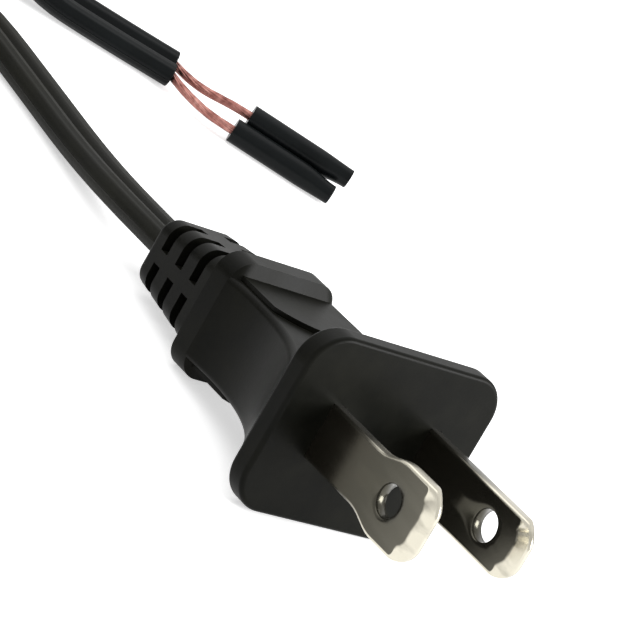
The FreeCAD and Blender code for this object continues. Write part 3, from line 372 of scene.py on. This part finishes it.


# %% [markdown]
# The finishes below are mottled and grained, and the blades' colour also holds painted reflection
# and painted edge highlights. These helpers read the object's own coordinates, so that a pattern
# stays on its piece: noise gives patches, a ramp turns them into colours, a weighed sum joins two
# patterns, and relief lets the light see a grain too fine for the mesh.

# %% Pattern helpers
def noise(tree, scale, detail=3.0, stretch=(1, 1, 1), roughness=0.55):
    """Noise on the object's own coordinates, in metres, stretched along any axis."""
    place = tree.nodes.new("ShaderNodeTexCoord")
    mapping = tree.nodes.new("ShaderNodeMapping")
    mapping.inputs["Scale"].default_value = stretch
    pattern = tree.nodes.new("ShaderNodeTexNoise")
    pattern.inputs["Scale"].default_value = scale
    pattern.inputs["Detail"].default_value = detail
    pattern.inputs["Roughness"].default_value = roughness
    tree.links.new(place.outputs["Object"], mapping.inputs["Vector"])
    tree.links.new(mapping.outputs["Vector"], pattern.inputs["Vector"])
    return pattern.outputs["Fac"]


def place_along(tree, axis):
    """The place along one axis of the object's own coordinates, in metres."""
    place = tree.nodes.new("ShaderNodeTexCoord")
    split = tree.nodes.new("ShaderNodeSeparateXYZ")
    tree.links.new(place.outputs["Object"], split.inputs["Vector"])
    return split.outputs[axis]


def ramp(tree, source, stops):
    """Turns a grey value into the colours of the stops: (position, red, green, blue)."""
    band = tree.nodes.new("ShaderNodeValToRGB")
    ends = band.color_ramp.elements
    while len(ends) < len(stops):
        ends.new(0.5)
    for end, (position, red, green, blue) in zip(ends, stops):
        end.position = position
        end.color = (red, green, blue, 1)
    tree.links.new(source, band.inputs["Fac"])
    return band.outputs["Color"]


def weighed(tree, source, weight, added):
    """The source times a weight, plus another value."""
    total = tree.nodes.new("ShaderNodeMath")
    total.operation = "MULTIPLY_ADD"
    total.inputs[1].default_value = weight
    tree.links.new(source, total.inputs[0])
    tree.links.new(added, total.inputs[2])
    return total.outputs[0]


def relief(tree, shader, source, height, strength):
    """Raises the surface by that height, in metres, where the source is white, on top of any relief
    that the shader has already."""
    bump = tree.nodes.new("ShaderNodeBump")
    bump.inputs["Distance"].default_value = height
    bump.inputs["Strength"].default_value = strength
    tree.links.new(source, bump.inputs["Height"])
    old = shader.inputs["Normal"].links
    if old:
        tree.links.new(old[0].from_socket, bump.inputs["Normal"])
    tree.links.new(bump.outputs["Normal"], shader.inputs["Normal"])


# %% [markdown]
# Cord vinyl is softer and a little greener than the cover, and cooler, blacker and glossier towards its
# stripped end. It has a faint grain and uneven gloss from handling. The fine lines along its length are
# the mesh's own ridges.

# %% Cord vinyl
warm_until, cool_from, cool_dullness = 0.0045, 0.011, -0.2
vinyl, vinyl_tree, vinyl_shader = finish_of("cord_vinyl", (0.010, 0.010, 0.0075), 0.52, specular=0.1)
patches = noise(vinyl_tree, 160, 4)
warm = ramp(vinyl_tree, patches, ((0.3, 0.006, 0.0062, 0.0042), (0.7, 0.011, 0.011, 0.0075)))
cool = ramp(vinyl_tree, patches, ((0.3, 0.0018, 0.0024, 0.0026), (0.7, 0.004, 0.0052, 0.0055)))
far_end = spread(vinyl_tree, place_along(vinyl_tree, "X"), 0.0, 1.0, from_low=warm_until, from_high=cool_from)
jacket = vinyl_tree.nodes.new("ShaderNodeMix")
jacket.data_type = "RGBA"
for source, socket in ((far_end, "Factor"), (warm, "A"), (cool, "B")):
    vinyl_tree.links.new(source, jacket.inputs[socket])
vinyl_tree.links.new(jacket.outputs["Result"], vinyl_shader.inputs["Base Color"])
dullness = weighed(vinyl_tree, far_end, cool_dullness, spread(vinyl_tree, patches, 0.44, 0.6))
vinyl_tree.links.new(dullness, vinyl_shader.inputs["Roughness"])
relief(vinyl_tree, vinyl_shader, noise(vinyl_tree, 2600, 2), 0.00003, 0.5)
cord.data.materials.append(vinyl)
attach(cord, "root")
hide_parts("cord_lead", "cord_coil", "cord_tail")
print("cord carries", vinyl.name)


# %% [markdown]
# Each stripped wire is a bunch of fine copper strands with a slow twist. A section with ten shallow
# lobes, turned steadily as it goes along the wire's line, gives the look of twisted strands without
# modelling each one.

# %% Copper strands
def strands(name, control, bunch=0.55, twist=0.28, lobes=10):
    """Radius round the section: nine tenths of the bunch's radius, plus a tenth of it times the absolute
    sine of half as many times the angle as there are lobes; the angle grows along the wire."""
    line = along_spline(control, 10)
    angle = np.linspace(0, 2 * np.pi, 8 * lobes, endpoint=False)
    reach = bunch * (0.9 + 0.1 * np.abs(np.sin(lobes / 2 * angle)))
    around = angle[None, :] + (distance_along(line) / MM)[:, None] * twist
    tangent = directions(line)
    side = unit(np.cross(np.array([0.0, 0.0, 1.0]), tangent))
    top = np.cross(tangent, side)
    sideways = side[:, None, :] * (reach * np.cos(around))[..., None]
    upwards = top[:, None, :] * (reach * np.sin(around))[..., None]
    return grid_mesh(name, line[:, None, :] + MM * (sideways + upwards))


near_strands = strands("near_copper", [
    (29.85, 79.20, 1.71), (30.0, 76.6, 1.65), (30.9, 73.6, 1.6), (32.2, 71.7, 1.55),
    (34.0, 70.39, 1.55), (37.43, 67.81, 1.55)])
far_strands = strands("far_copper", [
    (31.35, 81.76, 2.16), (31.5, 79.0, 2.3), (32.3, 75.8, 2.7), (33.6, 73.7, 3.2),
    (35.6, 72.07, 3.48), (39.62, 69.04, 3.48)])
print("copper triangles", 2 * len(near_strands.data.polygons), 2 * len(far_strands.data.polygons))


# %% [markdown]
# Bare copper is pink where it is clean and brown where it has met the air. Noise chooses between the
# two, and the same noise dents the surface a little, as crossing strands do.

# %% Bare copper
copper, copper_tree, copper_shader = finish_of("bare_copper", (0.45, 0.2, 0.16), 0.36, metallic=1.0)
tarnish = noise(copper_tree, 900)
copper_tone = ramp(copper_tree, tarnish, (
    (0.25, 0.14, 0.05, 0.042), (0.5, 0.32, 0.14, 0.118), (0.75, 0.5, 0.27, 0.235)))
copper_tree.links.new(copper_tone, copper_shader.inputs["Base Color"])
relief(copper_tree, copper_shader, tarnish, 0.00006, 0.6)
for piece, node in ((near_strands, "line_tail_strands"), (far_strands, "neutral_tail_strands")):
    piece.data.materials.append(copper)
    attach(piece, "root")
    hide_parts(node)
    print(piece.name, "stands for", node)


# %% [markdown]
# The cut-off insulation has slid part-way off the copper. It is two round lobes side by side, pressed
# together as far as the slit near the tip. From there each lobe narrows and leans away from the other,
# which leaves a gap that shows the table. Both lobes go into one mesh, as it is one piece of vinyl.

# %% Cut-off sleeve
def lobe(side, begin, start=(35.25, 70.89, 2.514), length=14.0, slit=4.6, radius=1.5, apart=1.44):
    """A tube along the sleeve, its middle as far from the sleeve's as apart says. Past the slit's start
    its radius falls by the narrowing and its middle moves out by the leaning, both times the smooth
    step of the distance into the slit."""
    narrowing, leaning = 0.3, 0.2
    along = np.array([0.7983, -0.6022, 0.0])
    sideways = np.array([-0.4613, -0.6115, -0.6428])
    above = np.cross(along, sideways)
    angle = np.linspace(0, 2 * np.pi, 48, endpoint=False)[None, :, None]
    far = np.linspace(0, length, 57)
    opened = eased((far - length + slit) / slit)
    off_middle = np.outer(side * (apart + leaning * opened), sideways)
    middle = np.array(start) + np.outer(far + begin, along) + off_middle
    around = np.cos(angle) * sideways + np.sin(angle) * above
    return (middle[:, None, :] + (radius - narrowing * opened)[:, None, None] * around) * MM


sleeve = grid_mesh("sleeve_lobes", lobe(1, 0.0))
far_lobe = grid_mesh("far_lobe", lobe(-1, 1.0))
both_lobes = bmesh.new()
both_lobes.from_mesh(sleeve.data)
both_lobes.from_mesh(far_lobe.data)
both_lobes.to_mesh(sleeve.data)
both_lobes.free()
bpy.data.objects.remove(far_lobe)
sleeve.data.materials.append(vinyl)
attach(sleeve, "root")
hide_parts("end_sleeve")
print("sleeve faces", len(sleeve.data.polygons))


# %% [markdown]
# The moulded cover, the carrier inside it, the hidden cores and the coil's strap keep their exact CAD
# shape and only get their finish; a helper puts one material on a node's object. The cover is
# injection-moulded vinyl, almost black with a warm cast. The real one shows a fine matt grain, softer
# gloss where fingers rub it, and slight waviness from the mould.

# %% Cover vinyl
def dress(node, material):
    """Puts one material on every slot of a CAD node."""
    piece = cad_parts[node]
    if not piece.material_slots:
        piece.data.materials.append(material)
    for holder in piece.material_slots:
        holder.link = "OBJECT"
        holder.material = material
    print(node, "carries", material.name)


cover, cover_tree, cover_shader = finish_of("cover_vinyl", (0.006, 0.006, 0.005), 0.42, specular=0.055)
clouds = noise(cover_tree, 220, 4)
cover_tone = ramp(cover_tree, clouds, ((0.3, 0.0035, 0.0037, 0.0028), (0.7, 0.0075, 0.0075, 0.0055)))
cover_tree.links.new(cover_tone, cover_shader.inputs["Base Color"])
cover_tree.links.new(spread(cover_tree, clouds, 0.32, 0.46), cover_shader.inputs["Roughness"])
relief(cover_tree, cover_shader, noise(cover_tree, 3200, 2), 0.00002, 0.35)
relief(cover_tree, cover_shader, noise(cover_tree, 120, 1), 0.00012, 0.4)
dress("plug_cover", cover)
dress("blade_carrier", cover)


# %% [markdown]
# The coil's strap is a dull black plastic. It has no gloss to speak of, so that its flat top doesn't
# mirror the lamps when the coil is looked at from behind.

# %% Strap plastic
strap, strap_tree, strap_shader = finish_of("tie_plastic", (0.012, 0.012, 0.011), 0.9, specular=0.02)
dust = noise(strap_tree, 500)
strap_tone = ramp(strap_tree, dust, ((0.3, 0.009, 0.009, 0.008), (0.7, 0.016, 0.016, 0.014)))
strap_tree.links.new(strap_tone, strap_shader.inputs["Base Color"])
dress("coil_tie", strap)


# %% [markdown]
# The cores and the cord's root are inside the cover. Nobody sees them until a reader takes the plug
# apart, and then they are the same copper and the same vinyl as outside.

# %% Hidden solids
dress("neutral_core", copper)
dress("line_core", copper)
dress("cord_root", vinyl)


# %% [markdown]
# A blade is stamped from strip, which leaves its corners slightly eased. Its outline is that of the CAD
# blade, in millimetres from the front face and from the blade's middle. It could be drawn as a curve
# with rounded corners; averaging each point with its neighbours rounds all the corners at once.

# %% Blade outline
def blade_outline(tip, shank, step=0.12, ease=7):
    """Corners of the blade joined by even steps, each point then the mean of its neighbours within the
    ease, which rounds the corners. Columns are the distance along the blade and across it."""
    side = [(-17.5, tip - 1.5), (-16.0, tip), (-11.4, tip), (-8.6, shank), (6.4, shank)]
    corners = np.array(side + [(along, -out) for along, out in reversed(side)])
    after = np.roll(corners, -1, axis=0)
    parts = [np.linspace(0, 1, max(int(length / step), 1), endpoint=False)[:, None]
             for length in np.linalg.norm(after - corners, axis=1)]
    line = np.concatenate([start + part * (end - start) for start, end, part in zip(corners, after, parts)])
    reach = range(-ease, ease + 1)
    return sum(np.roll(line, number, axis=0) for number in reach) / len(reach)


# %% [markdown]
# The blade's edges are rolled over and its tip is coined to a wide bevel. The piece is one grid wrapped
# round the hole: it starts in the hole, runs out over one broad face to the outline, over the edge,
# back over the other face, and closes in the hole. A mark on each point says how much painted edge
# highlight the finish puts there: none on the faces, most over the rolled edges, less on the coined tip.

# %% Blade shape
face_back, face_height, plug_lean = -9.266, 9.683, math.radians(7.67)
hole_at, hole_radius, hole_edge = -11.9, 1.59, 0.12
rolled_width, rolled_depth = 0.32, 0.28
coined_width, coined_depth = 1.1, 0.24
coined_from, coined_over = -15.2, 1.7
# Painted edge highlight: its weight where the edge begins, and the share of it that the coined tip loses.
highlight_at_edge_start, coined_highlight_cut = 0.35, 0.62


def blade(name, middle, tip, shank, half=0.75):
    """The inset of the edge is the bevel's width times one minus the sine of the step's angle on the
    sides, and times one minus the step at the tip; its fall is the bevel's depth in the same way."""
    line = blade_outline(tip, shank)
    along = unit(np.roll(line, -1, axis=0) - np.roll(line, 1, axis=0))
    outward = np.stack((along[:, 1], -along[:, 0]), axis=1)
    centre = np.array([hole_at, 0.0])
    outward = outward * np.sign(((line - centre) * outward).sum(axis=1, keepdims=True))
    from_hole = unit(line - centre)
    coined = eased((coined_from - line[:, 0]) / coined_over)[:, None]
    width, depth = rolled_width + coined_width * coined, rolled_depth + coined_depth * coined
    outward = unit(outward * (1 - coined) + from_hole * coined)
    rim = centre + from_hole * (hole_radius + hole_edge)
    edge_start = line - outward * width
    rows = [(centre + from_hole * hole_radius, half - hole_edge)]
    face_steps = 1 - (1 - np.linspace(0, 1, 9)) ** 2
    for part in face_steps:
        rows.append((rim + (edge_start - rim) * part, half))
    edge_steps = np.linspace(0, 1, 8)[1:]
    for part in edge_steps:
        bend = part * np.pi / 2
        inset = (1 - np.sin(bend)) * (1 - coined) + (1 - part) * coined
        fall = (1 - np.cos(bend)) * (1 - coined) + part * coined
        rows.append((line - outward * width * inset, half - depth * fall))
    flat = np.stack([place for place, _ in rows])
    lift = np.stack([np.broadcast_to(np.ravel(height), len(line)) for _, height in rows])
    flat = np.concatenate((flat, flat[::-1]))
    lift = np.concatenate((lift, -lift[::-1]))
    back, up = flat[..., 0], flat[..., 1]
    points = np.stack((
        middle + lift, back * np.cos(plug_lean) + up * np.sin(plug_lean) + face_back,
        up * np.cos(plug_lean) - back * np.sin(plug_lean) + face_height), axis=-1) * MM
    piece = grid_mesh(name, points, ring=True, caps=False)
    # Each point's weight of painted edge highlight: none in the hole and over the faces, some where the edge
    # begins, full over the rolled edge, less on the coined tip.
    row_highlight = np.array([0.0] * len(face_steps) + [highlight_at_edge_start] + [1.0] * len(edge_steps))
    painted_edge_highlight = np.outer(np.concatenate((row_highlight, row_highlight[::-1])), 1 - coined_highlight_cut * coined[:, 0])
    piece.data.attributes.new("painted_edge_highlight", "FLOAT", "POINT").data.foreach_set("value", painted_edge_highlight.ravel())
    return piece


wide_blade = blade("wide_blade", -6.35, 3.9, 2.925)
narrow_blade = blade("narrow_blade", 6.35, 3.175, 3.175)
print("blade triangles", 2 * len(wide_blade.data.polygons), 2 * len(narrow_blade.data.polygons))


# %% [markdown]
# The blades are brass with nickel plating, a warm champagne grey. Rolling leaves very fine lines along
# the blade. The colour is painted darker towards the cover and brighter towards the tip, a painted
# reflection of the dark cover, and brighter along the edges, a painted edge highlight.

# %% Plated blades
# The span along the blade where the painted reflection runs from dark near the cover to bright at the tip,
# then the shares of painted reflection, rolling lines and painted edge highlight.
dark_until, bright_from = -0.013, -0.0265
tip_share, rolling_share, edge_highlight_share = 0.62, 0.38, 0.5
plating, plating_tree, plating_shader = finish_of(
    "nickel_plating", (0.4, 0.37, 0.3), 0.2, metallic=0.82, specular=0.3)
rolled = noise(plating_tree, 700, 4, stretch=(1, 0.06, 1))
# Painted reflection: darker where the blade mirrors the dark cover, brighter towards the tip.
painted_reflection = spread(plating_tree, place_along(plating_tree, "Y"), 0.0, tip_share,
              from_low=dark_until, from_high=bright_from)
# The per-point painted edge highlight brightens the colour along the blade's edges.
edge_highlight_reader = plating_tree.nodes.new("ShaderNodeAttribute")
edge_highlight_reader.attribute_name = "painted_edge_highlight"
brightness = weighed(plating_tree, edge_highlight_reader.outputs["Fac"], edge_highlight_share,
                     weighed(plating_tree, rolled, rolling_share, painted_reflection))
# Low values give the dark of the painted reflection near the cover; the top stop is the bright colour of the
# painted highlights.
metal_tone = ramp(plating_tree, brightness, (
    (0.1, 0.045, 0.04, 0.03), (0.45, 0.055, 0.052, 0.04),
    (0.8, 0.095, 0.09, 0.072), (0.98, 0.56, 0.53, 0.44)))
plating_tree.links.new(metal_tone, plating_shader.inputs["Base Color"])
plating_tree.links.new(spread(plating_tree, rolled, 0.14, 0.3), plating_shader.inputs["Roughness"])
relief(plating_tree, plating_shader, rolled, 0.00001, 0.3)
for piece, node in ((wide_blade, "neutral_blade"), (narrow_blade, "line_blade")):
    piece.data.materials.append(plating)
    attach(piece, "root")
    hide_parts(node)
    print(piece.name, "stands for", node)
